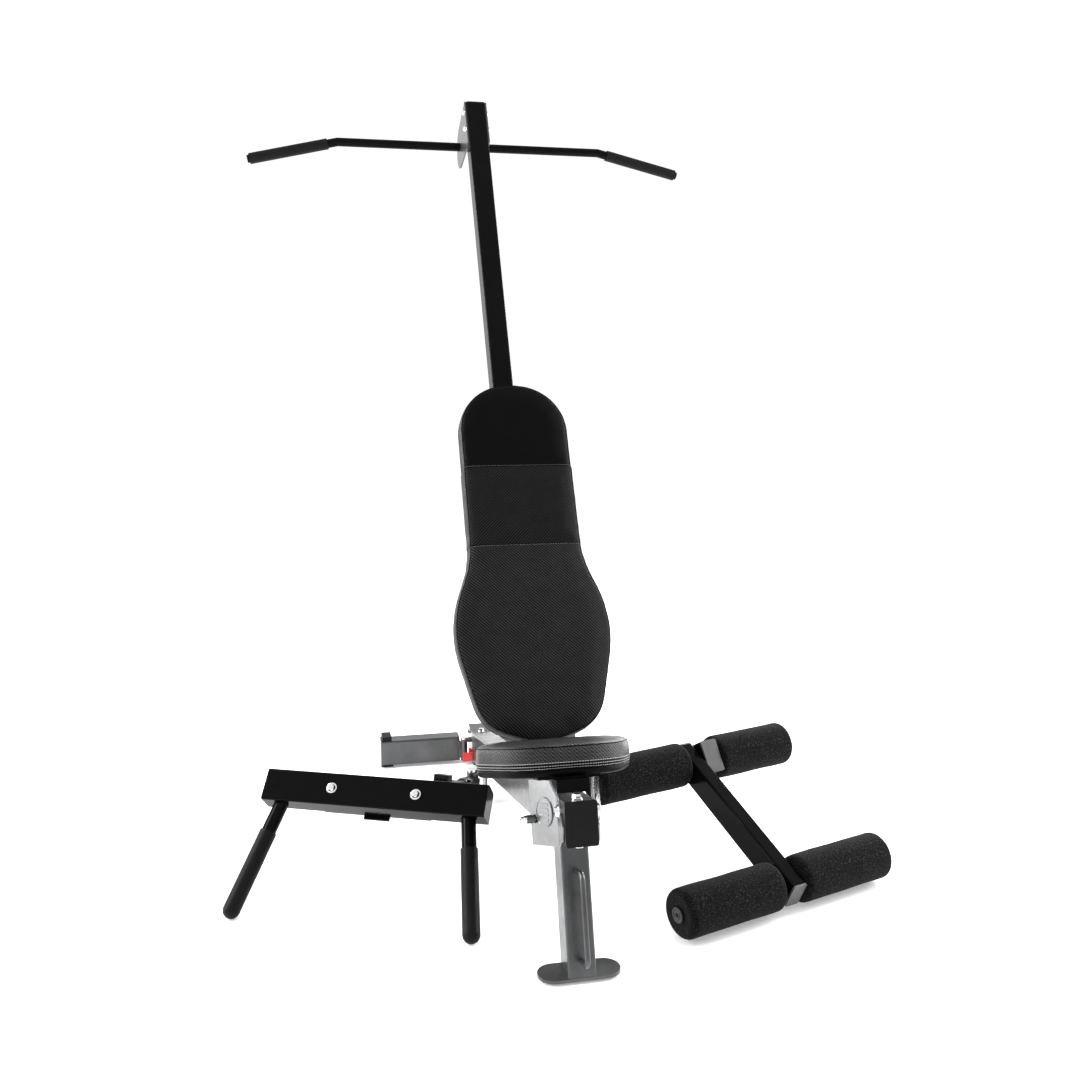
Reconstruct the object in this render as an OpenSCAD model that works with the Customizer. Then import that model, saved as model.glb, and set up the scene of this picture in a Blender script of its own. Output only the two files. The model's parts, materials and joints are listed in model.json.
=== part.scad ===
// Multi station home gym: adjustable bench with chin bar mast, dip bar arm and foam roller leg arm.
// Origin: centre of the front foot plate's underside. +X right, +Y to the rear, +Z up. Millimetres.

/* [Spine and front leg] */
// Width of the spine tube
spine_w = 60; // [58:1:60]
// Height of the spine tube
spine_h = 80; // [76:1:82]
// Height of the spine tube's underside at its front end
spine_front_z = 250; // [246:1:252]
// Slope of the spine tube down to the rear, in degrees
spine_slope = 11.8; // [11.6:0.1:12]
// Wall of the frame tubes
tube_wall = 3; // [2:0.5:4]
// Lean of the front leg to the rear, in degrees
leg_lean = 17; // [15:1:18]
// Length of the front foot plate across the bench
foot_w = 156; // [130:2:180]
// Width of the front foot plate along the bench
foot_d = 62; // [58:1:72]

/* [Seat] */
// Front-up tilt of the seat at rest, in degrees
seat_tilt = 17; // [15:1:18]
// Thickness of the seat cushion
seat_pad_t = 52; // [46:1:54]
// Largest width of the seat cushion
seat_w = 310; // [290:2:320]

/* [Backrest and mast] */
// Lean of the backrest and mast from upright at rest, in degrees
back_lean = 28; // [27:1:29]
// Length of the backrest cushion
back_pad_l = 800; // [780:5:810]
// Thickness of the backrest cushion
back_pad_t = 52; // [48:1:54]
// Side of the square mast tube
mast_w = 50; // [48:1:50]
// Height of the mast's top end above the backrest pivot, along the mast
mast_l = 1668; // [1600:1:1700]
// Half length of the chin bar's straight middle
chin_half = 353; // [330:1:380]
// Half length of the whole chin bar
chin_reach = 585; // [560:1:600]

/* [Dip bar] */
// Length of the dip bar's beam
dip_beam_l = 486; // [470:1:500]
// Length of each dip handle, from the beam to its rounded tip
dip_handle_l = 248; // [246:1:249]

/* [Leg rollers] */
// Outer radius of the foam rollers
roller_r = 50; // [49:0.5:50]
// Length of each foam roller
roller_l = 243; // [236:1:250]

/* [Hidden] */
$fn = 48;

tube_corner_r = 5;
running_gap = 0.05;
tiny = 0.01;

// Spine
spine_front_y = -8;
hub_front_y = 1112;
hub_back_y = 1207;
hub_half_w = 26;
spine_mid_z = spine_front_z + spine_h / 2 / cos(spine_slope);
spine_l = (hub_front_y - spine_front_y) / cos(spine_slope) + spine_h;

// Front leg and its foot
foot_t = 6;
leg_w = 53;
leg_d = 64;
leg_base_y = 3;

// Rear feet
rear_tube_z = 4;
rear_tube_h = 70;
rear_tube_d = 50;
rear_tube_in_x = 58;
rear_tube_out_x = 275;
rear_end_t = 4;
rear_tube_y = 1157;
hinge_x = 46;
hinge_y = 1150;
hinge_pin_r = 6;
sleeve_r = 10;
sleeve_z = 16;
sleeve_h = 46;
lug_t = 7.7;

// Lock levers at the rear hinges
lever_y = 1120;
lever_z = 44;
lever_pin_r = 4;
lever_t = 7;
lever_x = spine_w / 2 + 1;
lever_stud_l = lever_x + lever_t - hub_half_w;

// Seat, about its pivot bolt through the spine's front end
seat_pivot_y = 22;
seat_pivot_z = 304;
seat_bolt_r = 6;
seat_plate_t = 4;
seat_plate_in = spine_w / 2 + 1;
seat_splay = 22;
seat_fold_y = 14;
seat_pad_z = 70;
seat_board_t = 12;
seat_cross_t = 4;
seat_front_y = 31;
seat_rear_y = 231;
seat_pin_y = 84;
seat_pin_z = -18;
seat_barrel_x = 67;

// Backrest, about its pivot over the spine
back_y = 382;
back_z = 300;
back_bolt_r = 7;
back_pad_front = 111;
back_pad_rise = 10;
back_board_t = 15;
ear_in = mast_w / 2 + 0.5;
ear_t = 4;
quad_x = 31.5;
quad_t = 5;
quad_in_r = 98;
quad_out_r = 131;
quad_hole_r = 5;
quad_pin_r = 115;
quad_pin_angle = -15;
quad_pin_pos = [back_y + quad_pin_r * cos(quad_pin_angle), back_z + quad_pin_r * sin(quad_pin_angle)];

// Chin bar, in the mast's own frame
chin_r = 11;
chin_grip_r = 14;
chin_back = 103;
chin_down = 38;
chin_drop = 12.2;
chin_sweep = 3;
chin_plate_r = 54;
chin_end_l = (chin_reach - chin_half) / cos(chin_drop);

// Accessory arms
arm_x = 65;
arm_y = 870;
arm_z = 45;
arm_w = 40;
arm_h = 30;
arm_pin_r = 8;
arm_sleeve_r = 15;

// Dip bar
dip_pos = [-336, 414.4, 207.2];
dip_yaw = -23.6;
dip_pitch = 41.9;
dip_a = 69;
dip_b = 54;
dip_handle_x = 205.5;
dip_splay = 11.3;
dip_tube_r = 15.5;
dip_grip_r = 18;
dip_bolt_x = 92;
dip_plate_t = 6;

// Leg rollers: the two axles, and the link between them
axle_yaw = 18.5;
upper_pos = [383.3, 474.2, 206.4];
lower_pos = [485.7, 168, roller_r];
axle_r = 12.5;
roller_gap = 28;
lower_shift = 12;
axle_half = roller_gap + roller_l + 1;
link_w = 36;
link_h = 58;
link_drop = upper_pos[2] - lower_pos[2];
link_run = norm([upper_pos[0] - lower_pos[0], upper_pos[1] - lower_pos[1]]);
link_slope = atan2(link_drop, link_run);
link_l = norm([link_drop, link_run]);
link_x = -7;
link_back = 30;
link_past = 32;
head_x = 34;
head_w = 42;
head_h = 74;
head_pitch = 31;
head_front = 35;

// ---------- shared shapes ----------

module round_rect(w, h, r) {
    square([w - 2 * r, h], center = true);
    square([w, h - 2 * r], center = true);
    for (sx = [-1, 1], sy = [-1, 1]) translate([sx * (w / 2 - r), sy * (h / 2 - r)]) circle(r);
}

// Rectangular tube along +Y, w wide in X and h high in Z
module tube_y(w, h, l, wall) {
    rotate([-90, 0, 0]) linear_extrude(l) difference() {
        round_rect(w, h, tube_corner_r);
        round_rect(w - 2 * wall, h - 2 * wall, tube_corner_r - 1.9);
    }
}

module box_y(w, h, l) {
    rotate([-90, 0, 0]) linear_extrude(l) round_rect(w, h, tube_corner_r);
}

// Rod along +X, centred on the origin
module rod_x(r, l) {
    rotate([0, 90, 0]) cylinder(h = l, r = r, center = true);
}

module hex_x(r, l) {
    rotate([0, 90, 0]) cylinder(h = l, r = r, $fn = 6);
}

// Bolt along X with a domed head at -X, a hex nut at +X and a washer under each
module through_bolt(r, grip, head_r) {
    head_t = head_r * 0.6;
    washer_t = 1.5;
    rod_x(r, grip + 2 * washer_t + tiny);
    for (side = [-1, 1]) translate([side * (grip + washer_t) / 2, 0, 0]) rod_x(head_r * 1.25, washer_t);
    translate([-grip / 2 - washer_t - head_t, 0, 0]) rotate([0, 90, 0])
        cylinder(h = head_t, r1 = head_r * 0.7, r2 = head_r);
    translate([grip / 2 + washer_t, 0, 0]) hex_x(head_r, head_t);
}

// Rectangular tube from one point to another
module strut(from, to, w, h, wall) {
    d = to - from;
    run = norm([d[0], d[1]]);
    translate(from) rotate([0, 0, atan2(-d[0], d[1])]) rotate([atan2(d[2], run), 0, 0])
        tube_y(w, h, norm(d), wall);
}

module mirror_x() {
    mirror([1, 0, 0]) children();
}

// ---------- frames of the sub-assemblies ----------

module at_spine() {
    translate([0, spine_front_y, spine_mid_z]) rotate([-spine_slope, 0, 0]) children();
}

module at_leg() {
    translate([0, leg_base_y, 0]) rotate([-leg_lean, 0, 0]) children();
}

module at_seat() {
    translate([0, seat_pivot_y, seat_pivot_z]) rotate([-seat_tilt, 0, 0]) children();
}

module at_back() {
    translate([0, back_y, back_z]) rotate([-back_lean, 0, 0]) children();
}

module at_dip() {
    translate(dip_pos) rotate([0, 0, dip_yaw]) rotate([-dip_pitch, 0, 0]) children();
}

module at_upper() {
    translate(upper_pos) rotate([0, 0, axle_yaw]) children();
}

// +Y runs down the link, from the upper axle to the lower one
module at_link() {
    at_upper() rotate([0, 0, 180]) rotate([-link_slope, 0, 0]) children();
}

module spine_envelope() {
    at_spine() translate([-spine_w / 2, -spine_h, -spine_h / 2])
        cube([spine_w, spine_l + 2 * spine_h, spine_h]);
}

// ---------- spine and front leg ----------

module spine_tube() {
    color("dimgray") difference() {
        at_spine() tube_y(spine_w, spine_h, spine_l, tube_wall);
        translate([-spine_w, hub_front_y, -spine_h]) cube([2 * spine_w, 3 * spine_h, 4 * spine_h]);
        seat_bolt_hole();
        at_spine() translate([0, 24, -spine_h]) cylinder(h = 2 * spine_h, r = 5);
    }
}

module seat_bolt_hole() {
    translate([0, seat_pivot_y, seat_pivot_z]) rod_x(seat_bolt_r + running_gap, 2 * spine_w);
}

module spine_front_cap() {
    cap_t = 6;
    color("black") at_spine() translate([0, -cap_t, 0]) box_y(spine_w + 1, spine_h + 1, cap_t);
}

// Bolt head and washer on top of the spine's front end and a nut under it; the shank stops short
// of the seat's pivot bolt
module spine_front_bolt() {
    bolt_r = 4.9;
    bolt_y = 24;
    shank_l = 12;
    washer_t = 2;
    head_t = 7;
    head_r = 9;
    color("silver") at_spine() translate([0, bolt_y, 0]) {
        translate([0, 0, spine_h / 2 - shank_l]) cylinder(h = shank_l + tiny, r = bolt_r);
        translate([0, 0, spine_h / 2]) cylinder(h = washer_t, r = 11);
        translate([0, 0, spine_h / 2 + washer_t]) cylinder(h = head_t, r = head_r, $fn = 6);
        translate([0, 0, -spine_h / 2 - tiny]) cylinder(h = shank_l, r = bolt_r);
        translate([0, 0, -spine_h / 2 - head_t]) cylinder(h = head_t, r = head_r, $fn = 6);
    }
}

module front_leg() {
    color("slategray") difference() {
        at_leg() translate([0, 0, -leg_d]) linear_extrude(5 * leg_d) difference() {
            round_rect(leg_w, leg_d, tube_corner_r);
            round_rect(leg_w - 2 * tube_wall, leg_d - 2 * tube_wall, tube_corner_r - 1.9);
        }
        translate([-leg_w, -3 * leg_d, foot_t - 3 * leg_d]) cube([2 * leg_w, 6 * leg_d, 3 * leg_d]);
        at_spine() translate([-spine_w, -spine_h, -spine_h / 2])
            cube([2 * spine_w, 5 * spine_h, 4 * spine_h]);
    }
}

module foot_plate() {
    foot_y = 2;
    color("slategray") translate([0, foot_y, 0]) linear_extrude(foot_t) {
        square([foot_w - foot_d, foot_d], center = true);
        for (side = [-1, 1]) translate([side * (foot_w - foot_d) / 2, 0]) circle(foot_d / 2);
    }
}

module leg_grab_handle() {
    bar_r = 5;
    reach = 46;
    low = 25;
    span = 159;
    bend = 12;
    color("slategray") at_leg() translate([0, -leg_d / 2, low]) {
        for (z = [0, span]) translate([0, 0, z]) rotate([90, 0, 0]) cylinder(h = reach - bend, r = bar_r);
        translate([0, -reach + bend, bend]) rotate([0, 90, 180]) rotate_extrude(angle = 90)
            translate([bend, 0]) circle(bar_r);
        translate([0, -reach + bend, span - bend]) rotate([90, 0, -90]) rotate_extrude(angle = 90)
            translate([bend, 0]) circle(bar_r);
        translate([0, -reach, bend]) cylinder(h = span - 2 * bend, r = bar_r);
    }
}

// ---------- rear hub and folding feet ----------

module hinge_lugs() {
    for (z = [sleeve_z - lug_t - 0.3, sleeve_z + sleeve_h + 0.3]) translate([0, 0, z])
        linear_extrude(lug_t) {
        translate([hinge_x, hinge_y]) circle(sleeve_r);
        translate([hub_half_w - 2, hinge_y - sleeve_r]) square([hinge_x - hub_half_w + 2, 2 * sleeve_r]);
    }
}

module rear_hub() {
    hub_z = 4;
    hub_h = 90;
    color("dimgray") difference() {
        union() {
            translate([-hub_half_w, hub_front_y, hub_z])
                cube([2 * hub_half_w, hub_back_y - hub_front_y, hub_h]);
            hinge_lugs();
            mirror_x() hinge_lugs();
            for (side = [-1, 1]) translate([side * (hub_half_w + lever_stud_l / 2), lever_y, lever_z])
                rod_x(lever_pin_r, lever_stud_l + tiny);
        }
        for (side = [-1, 1]) translate([side * hinge_x, hinge_y, -1]) cylinder(h = 100, r = hinge_pin_r);
    }
}

module hub_bolts() {
    bolt_y = 1180;
    color("silver") {
        for (side = [-1, 1]) translate([side * (hub_half_w + 1), bolt_y, 82]) rod_x(8, 2);
        for (side = [-1, 1]) translate([side * (hub_half_w + 4.5), bolt_y, 82]) rod_x(6, 5);
        translate([0, 1135, 94]) cylinder(h = 2, r = 9);
        translate([0, 1135, 96]) cylinder(h = 6, r = 7, $fn = 6);
    }
}

module foot_hinge_pins() {
    color("silver") for (side = [-1, 1]) translate([side * hinge_x, hinge_y, 0]) {
        translate([0, 0, 4]) cylinder(h = 68, r = hinge_pin_r - running_gap);
        translate([0, 0, 70.1]) cylinder(h = 4, r = hinge_pin_r + 3);
    }
}

// The right foot: a tube that turns on the hinge pin
module rear_foot() {
    difference() {
        union() {
            translate([rear_tube_in_x, rear_tube_y + rear_tube_d / 2, rear_tube_z + rear_tube_h / 2])
                rotate([0, 0, -90]) tube_y(rear_tube_d, rear_tube_h,
                    rear_tube_out_x - rear_tube_in_x, tube_wall);
            translate([rear_tube_out_x, rear_tube_y, rear_tube_z])
                cube([rear_end_t, rear_tube_d, rear_tube_h]);
            translate([hinge_x, hinge_y, sleeve_z]) cylinder(h = sleeve_h, r = sleeve_r - 1);
            translate([hinge_x + 4, hinge_y - 4, sleeve_z]) cube([rear_tube_in_x - hinge_x, 14, sleeve_h]);
        }
        translate([hinge_x, hinge_y, 0]) cylinder(h = 100, r = hinge_pin_r);
    }
}

module rear_foot_right() { color("dimgray") rear_foot(); }
module rear_foot_left() { color("dimgray") mirror_x() rear_foot(); }

// Rubber sole and top bumper at the outer end of the right foot
module rear_boot() {
    sole_l = 34;
    bumper_l = 26;
    bumper_h = 12;
    d = rear_tube_d - 2;
    translate([rear_tube_out_x + rear_end_t - sole_l, rear_tube_y + 1, 0]) cube([sole_l, d, rear_tube_z]);
    translate([rear_tube_out_x - bumper_l, rear_tube_y + 1, rear_tube_z + rear_tube_h])
        cube([bumper_l, d, bumper_h]);
}

module rear_foot_boot_right() { color("black") rear_boot(); }
module rear_foot_boot_left() { color("black") mirror_x() rear_boot(); }

// Dipped lever on a stud at the right of the hub, with its tab bent outward
module lock_lever() {
    tab_w = 27;
    translate([lever_x, lever_y, lever_z]) difference() {
        union() {
            rotate([0, 90, 0]) cylinder(h = lever_t, r = 8);
            translate([0, -24, -20]) cube([lever_t, 20, 12]);
            translate([0, -8, -20]) cube([lever_t, 12, 16]);
            translate([0, -30, -20]) cube([tab_w, 6, 24]);
        }
        rotate([0, 90, 0]) cylinder(h = 60, r = lever_pin_r + running_gap, center = true);
    }
}

module lock_lever_right() { color("red") lock_lever(); }
module lock_lever_left() { color("red") mirror_x() lock_lever(); }

// ---------- seat ----------

// Left plate: a front part along the spine and a rear part splayed outward. Its bent plan strip is
// cut to its side outline
module seat_plate() {
    top_z = seat_pad_z - seat_board_t - seat_cross_t;
    fold_low_z = -64;
    fold_high_z = 26.7;
    rear_l = 90;
    bend = seat_plate_t * tan(seat_splay / 2);
    strip = [
        [0, -40], [0, seat_fold_y],
        [-rear_l * sin(seat_splay), seat_fold_y + rear_l * cos(seat_splay)],
        [-rear_l * sin(seat_splay) - seat_plate_t * cos(seat_splay),
            seat_fold_y + rear_l * cos(seat_splay) - seat_plate_t * sin(seat_splay)],
        [-seat_plate_t, seat_fold_y - bend], [-seat_plate_t, -40]
    ];
    side = [
        [-23, -26], [-16, -52], [0, -62], [seat_fold_y, fold_low_z],
        [seat_fold_y + 80, -66], [seat_fold_y + 84, top_z],
        [seat_fold_y + 20, top_z], [seat_fold_y, fold_high_z]
    ];
    difference() {
        intersection() {
            translate([-seat_plate_in, 0, -80]) linear_extrude(180) polygon(strip);
            translate([-120, 0, 0]) rotate([90, 0, 90]) linear_extrude(120) polygon(side);
        }
        rod_x(seat_bolt_r + running_gap, 4 * spine_w);
    }
}

module seat_plate_left() {
    color("silver") at_seat() difference() {
        seat_plate();
        translate([0, seat_pin_y, seat_pin_z]) rod_x(5, 300);
    }
}

module seat_plate_right() { color("silver") at_seat() mirror_x() seat_plate(); }

module seat_cross_plate() {
    color("silver") at_seat() translate([-60, 44, seat_pad_z - seat_board_t - seat_cross_t])
        cube([120, 56, seat_cross_t]);
}

// Black block under the cross plate, behind the bolt head on the spine
module seat_riser() {
    riser_y = 18;
    riser_low_z = 30;
    color("black") at_seat() translate([-seat_plate_in, riser_y, riser_low_z])
        cube([2 * seat_plate_in, 38, seat_pad_z - seat_board_t - seat_cross_t - riser_low_z]);
}

// Round badge with plain bars, on the splayed part of each plate
module badge() {
    badge_r = 27;
    badge_t = 2.5;
    translate([-seat_plate_in, seat_fold_y, 0]) rotate([0, 0, seat_splay])
        translate([-seat_plate_t, 41, -4]) rotate([0, -90, 0]) {
        difference() {
            cylinder(h = badge_t, r = badge_r);
            translate([0, 0, badge_t - 1]) cylinder(h = badge_t, r = badge_r - 3);
        }
        for (k = [-1.5:1:1.5]) translate([k * 9 - 2.5, -14, badge_t - 1 - tiny]) cube([5, 28, 0.8]);
    }
}

module seat_medallions() {
    color("lightgray") at_seat() {
        badge();
        mirror_x() badge();
    }
}

module seat_pivot_bolt() {
    color("silver") at_seat() through_bolt(seat_bolt_r, 2 * (seat_plate_in + seat_plate_t), 10);
}

module seat_outline(inset) {
    rear_r = 55;
    front_r = 100;
    hull() for (side = [-1, 1]) {
        translate([side * (seat_w / 2 - rear_r), seat_rear_y - rear_r]) circle(rear_r - inset);
        translate([side * 32, seat_front_y + front_r]) circle(front_r - inset);
    }
}

module seat_board() {
    color("saddlebrown") at_seat() translate([0, 0, seat_pad_z - seat_board_t])
        linear_extrude(seat_board_t) seat_outline(8);
}

module seat_pad() {
    color("black") at_seat() translate([0, 0, seat_pad_z]) linear_extrude(seat_pad_t) seat_outline(0);
}

// Spring pin barrel on the left plate, aimed at the side of the spine
module seat_pin_housing() {
    barrel_l = 11;
    neck_l = 26;
    color("dimgray") at_seat() translate([-seat_barrel_x, seat_pin_y, seat_pin_z])
        rotate([0, -90, 0]) difference() {
        union() {
            cylinder(h = barrel_l, r = 8);
            translate([0, 0, -neck_l]) cylinder(h = neck_l + tiny, r = 5 - running_gap);
        }
        translate([0, 0, -neck_l - 10]) cylinder(h = 60, r = 3.1);
    }
}

module seat_pull_pin() {
    pin_l = 41;
    color("silver") at_seat() translate([-seat_barrel_x - 11.5, seat_pin_y, seat_pin_z])
        rotate([0, -90, 0]) {
        translate([0, 0, -pin_l]) cylinder(h = pin_l + 1, r = 3);
        cylinder(h = 5, r = 7);
        translate([0, 0, 5]) cylinder(h = 6, r = 5.5);
    }
}

// ---------- backrest hinge and incline lock ----------

module back_hinge_ears() {
    ear_r = 28;
    color("dimgray") difference() {
        for (x = [-ear_in - ear_t, ear_in]) translate([x, back_y, back_z]) rotate([90, 0, 90])
            linear_extrude(ear_t) {
            circle(ear_r);
            polygon([[-ear_r, 0], [ear_r, 0], [ear_r + 30, -120], [-ear_r - 14, -120]]);
        }
        at_spine() translate([-spine_w, 0, -spine_h]) cube([2 * spine_w, spine_l, 1.5 * spine_h]);
        translate([0, back_y, back_z]) rod_x(back_bolt_r + running_gap, 100);
    }
}

module back_pivot_bolt() {
    color("silver") translate([0, back_y, back_z]) {
        rod_x(back_bolt_r, 2 * (ear_in + ear_t) + tiny);
        translate([-ear_in - ear_t - 7, 0, 0]) rotate([0, 90, 0]) cylinder(h = 7, r1 = 9, r2 = 12);
        // Thin retaining ring between the right ear and the quadrant's plane
        translate([ear_in + ear_t, 0, 0]) rotate([0, 90, 0]) cylinder(h = 1.5, r = 12);
    }
}

// Bracket from the spine's side to the outside of the quadrant
module incline_bracket() {
    foot_y = 520;
    foot_l = 30;
    plate_x = quad_x + quad_t + 1.5;
    plate_t = 5;
    color("dimgray") difference() {
        union() {
            translate([spine_w / 2, foot_y, 160]) cube([plate_x - spine_w / 2 + plate_t, foot_l, 50]);
            translate([plate_x, 0, 0]) rotate([90, 0, 90]) linear_extrude(plate_t) {
                translate(quad_pin_pos) circle(16);
                polygon([quad_pin_pos + [-8, -14], quad_pin_pos + [12, 11], [foot_y + foot_l, 210],
                    [foot_y, 160]]);
            }
        }
        translate([0, quad_pin_pos[0], quad_pin_pos[1]]) rod_x(6, 200);
    }
}

module incline_pin_housing() {
    color("dimgray") translate([quad_x + quad_t + 1.5, quad_pin_pos[0], quad_pin_pos[1]])
        rotate([0, 90, 0]) difference() {
        union() {
            cylinder(h = 5, r = 6 - running_gap);
            translate([0, 0, 5]) cylinder(h = 18, r = 9);
        }
        translate([0, 0, -1]) cylinder(h = 40, r = 4.1);
    }
}

module incline_pull_pin() {
    color("black") translate([quad_x + quad_t + 0.5, quad_pin_pos[0], quad_pin_pos[1]]) rotate([0, 90, 0]) {
        cylinder(h = 26, r = 4);
        translate([0, 0, 24.5]) cylinder(h = 5, r = 10);
        translate([0, 0, 29.5]) cylinder(h = 13, r1 = 10, r2 = 12);
    }
}

// ---------- backrest and mast, in the mast's frame ----------

module mast_tube() {
    foot_r = 24;
    color("black") at_back() difference() {
        union() {
            linear_extrude(mast_l) difference() {
                round_rect(mast_w, mast_w, tube_corner_r);
                round_rect(mast_w - 2 * tube_wall, mast_w - 2 * tube_wall, tube_corner_r - 1.9);
            }
            rod_x(foot_r, mast_w);
        }
        rod_x(back_bolt_r + running_gap, 2 * mast_w);
        for (z = [mast_l - 12, mast_l - 63]) translate([0, 0, z]) rod_x(4, 2 * mast_w);
    }
}

module mast_cap() {
    color("black") at_back() translate([0, 0, mast_l]) linear_extrude(4)
        round_rect(mast_w, mast_w, tube_corner_r);
}

// Ring sector behind the mast, with a hole for each incline
module incline_quadrant() {
    color("dimgray") at_back() translate([quad_x, 0, 0]) rotate([90, 0, 90]) difference() {
        union() {
            linear_extrude(quad_t) intersection() {
                difference() {
                    circle(quad_out_r);
                    circle(quad_in_r);
                }
                polygon([[0, 0], [-20, quad_out_r * 1.2], [300, quad_out_r * 1.2], [300, -60], [0, 0]]);
            }
            translate([-18, quad_in_r, mast_w / 2 - quad_x])
                cube([36, quad_out_r - quad_in_r - 4, quad_x - mast_w / 2 + tiny]);
        }
        for (k = [0:5]) rotate([0, 0, 90 - 17 - k * 15]) translate([quad_pin_r, 0, -1])
            cylinder(h = quad_t + 2, r = quad_hole_r);
    }
}

// Cross rails between the mast and the backrest board
module backrest_mounts() {
    rail_t = back_pad_front - back_pad_t - back_board_t - mast_w / 2;
    color("dimgray") at_back() for (z = [190, 560]) translate([-90, -mast_w / 2 - rail_t, z])
        cube([180, rail_t, 40]);
}

// Bottle outline of the backrest: oval lower part, straight neck and round top
module back_outline(inset) {
    neck_half = 123;
    top_r = 116;
    top_half = 8;
    belly_z = 220;
    belly_r = 260;
    belly_x = 92;
    corner_r = 88;
    corner_x = 52;
    flare_r = 260;
    offset(r = -inset) offset(r = -flare_r) offset(r = flare_r) {
        translate([-neck_half, belly_z]) square([2 * neck_half, back_pad_l - belly_z - top_r]);
        translate([-top_half, back_pad_l - top_r]) square([2 * top_half, top_r]);
        for (side = [-1, 1]) translate([side * top_half, back_pad_l - top_r]) circle(top_r);
        hull() {
            intersection() {
                translate([belly_x, belly_z]) circle(belly_r, $fn = 96);
                translate([-belly_x, belly_z]) circle(belly_r, $fn = 96);
            }
            for (side = [-1, 1]) translate([side * corner_x, corner_r]) circle(corner_r);
        }
    }
}

module backrest_board() {
    color("saddlebrown") at_back() translate([0, back_pad_t - back_pad_front + back_board_t, back_pad_rise])
        rotate([90, 0, 0]) linear_extrude(back_board_t) back_outline(10);
}

module backrest_pad() {
    color("black") at_back() translate([0, back_pad_t - back_pad_front, back_pad_rise])
        rotate([90, 0, 0]) linear_extrude(back_pad_t) back_outline(0);
}

// ---------- chin bar ----------

// Side plate at -X: it clamps the mast and reaches back to hold the chin bar
module chin_plate() {
    plate_t = 4;
    translate([-mast_w / 2 - plate_t, 0, mast_l]) rotate([90, 0, 90]) linear_extrude(plate_t) hull() {
        translate([-20, -118]) square([30, 124]);
        translate([chin_back, -chin_down]) circle(chin_plate_r, $fn = 96);
    }
}

module chin_plates() {
    color("dimgray") at_back() difference() {
        union() {
            chin_plate();
            mirror_x() chin_plate();
        }
        translate([0, chin_back, mast_l - chin_down]) rod_x(chin_r, 200);
        for (z = [mast_l - 12, mast_l - 63]) translate([0, 0, z]) rod_x(4, 2 * mast_w);
    }
}

module chin_plate_bolts() {
    color("silver") at_back() for (z = [mast_l - 12, mast_l - 63]) translate([0, 0, z])
        through_bolt(3.9, mast_w + 8, 7);
}

// Slanted end of the bar, from the bend outward at +X
module chin_end(r, from, l) {
    translate([chin_half, 0, 0]) rotate([0, 0, chin_sweep]) rotate([0, chin_drop, 0])
        translate([from, 0, 0]) rotate([0, 90, 0]) cylinder(h = l, r = r);
}

module at_chin() {
    at_back() translate([0, chin_back, mast_l - chin_down]) rotate([back_lean, 0, 0]) children();
}

module chin_bar() {
    color("black") at_chin() {
        rod_x(chin_r, 2 * chin_half);
        for (side = [0, 1]) mirror([side, 0, 0]) {
            translate([chin_half, 0, 0]) sphere(chin_r);
            chin_end(chin_r, 0, chin_end_l - 4);
        }
    }
}

module chin_grips() {
    grip_from = 26;
    color("black") at_chin() for (side = [0, 1]) mirror([side, 0, 0]) difference() {
        union() {
            chin_end(chin_grip_r, grip_from, chin_end_l - grip_from - 6);
            chin_end(chin_grip_r - 4, grip_from, chin_end_l - grip_from);
        }
        chin_end(chin_r, -10, chin_end_l + 10 - 4);
    }
}

// ---------- accessory arms ----------

module arm_yoke() {
    side_t = 5;
    lug = 6;
    half = 26;
    color("dimgray") difference() {
        union() {
            translate([spine_w / 2, arm_y - half, 12]) cube([side_t, 2 * half, 92]);
            for (z = [arm_z - 25.3 - lug, arm_z + 25.3]) translate([0, 0, z]) linear_extrude(lug) {
                translate([spine_w / 2 + 1, arm_y - arm_sleeve_r])
                    square([arm_x - spine_w / 2, 2 * arm_sleeve_r]);
                translate([arm_x, arm_y]) circle(arm_sleeve_r);
            }
        }
        translate([arm_x, arm_y, 0]) cylinder(h = 120, r = arm_pin_r);
    }
}

module arm_yoke_right() { arm_yoke(); }
module arm_yoke_left() { mirror_x() arm_yoke(); }

module arm_pins() {
    color("silver") for (side = [-1, 1]) translate([side * arm_x, arm_y, arm_z]) {
        cylinder(h = 68, r = arm_pin_r - running_gap, center = true);
        translate([0, 0, 31.4]) cylinder(h = 6, r = arm_pin_r + 4);
    }
}

module arm_sleeve(side) {
    translate([side * arm_x, arm_y, arm_z]) cylinder(h = 50, r = arm_sleeve_r, center = true);
}

module dip_arm() {
    color("silver") difference() {
        union() {
            arm_sleeve(-1);
            strut([-arm_x, arm_y, arm_z], [-322, 440, 178], arm_w, arm_h, 2.5);
        }
        translate([-arm_x, arm_y, 0]) cylinder(h = 200, r = arm_pin_r);
        at_dip() translate([-200, -200 + dip_b / 2 + dip_plate_t, -200]) cube([400, 200, 400]);
        translate([-arm_x - 60, arm_y - 80, arm_z + 25]) cube([120, 160, 100]);
        translate([-arm_x - 60, arm_y - 80, arm_z - 25 - 100]) cube([120, 160, 100]);
    }
}

// Bumper block on the arm, with three sockets in its front
module dip_bumper() {
    along = 200;
    dir = [-322, 440, 178] - [-arm_x, arm_y, arm_z];
    pos = [-arm_x, arm_y, arm_z] + dir * (along / norm(dir));
    yaw = atan2(-dir[0], dir[1]);
    color("black") translate(pos) rotate([0, 0, yaw]) rotate([atan2(dir[2], norm([dir[0], dir[1]])), 0, 0])
        translate([-19, -12, arm_h / 2]) difference() {
            cube([38, 24, 22]);
            for (x = [9, 19, 29]) translate([x, 24, 11]) rotate([90, 0, 0])
                cylinder(h = 12, r = 3, center = true);
        }
}

// ---------- dip bar ----------

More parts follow.
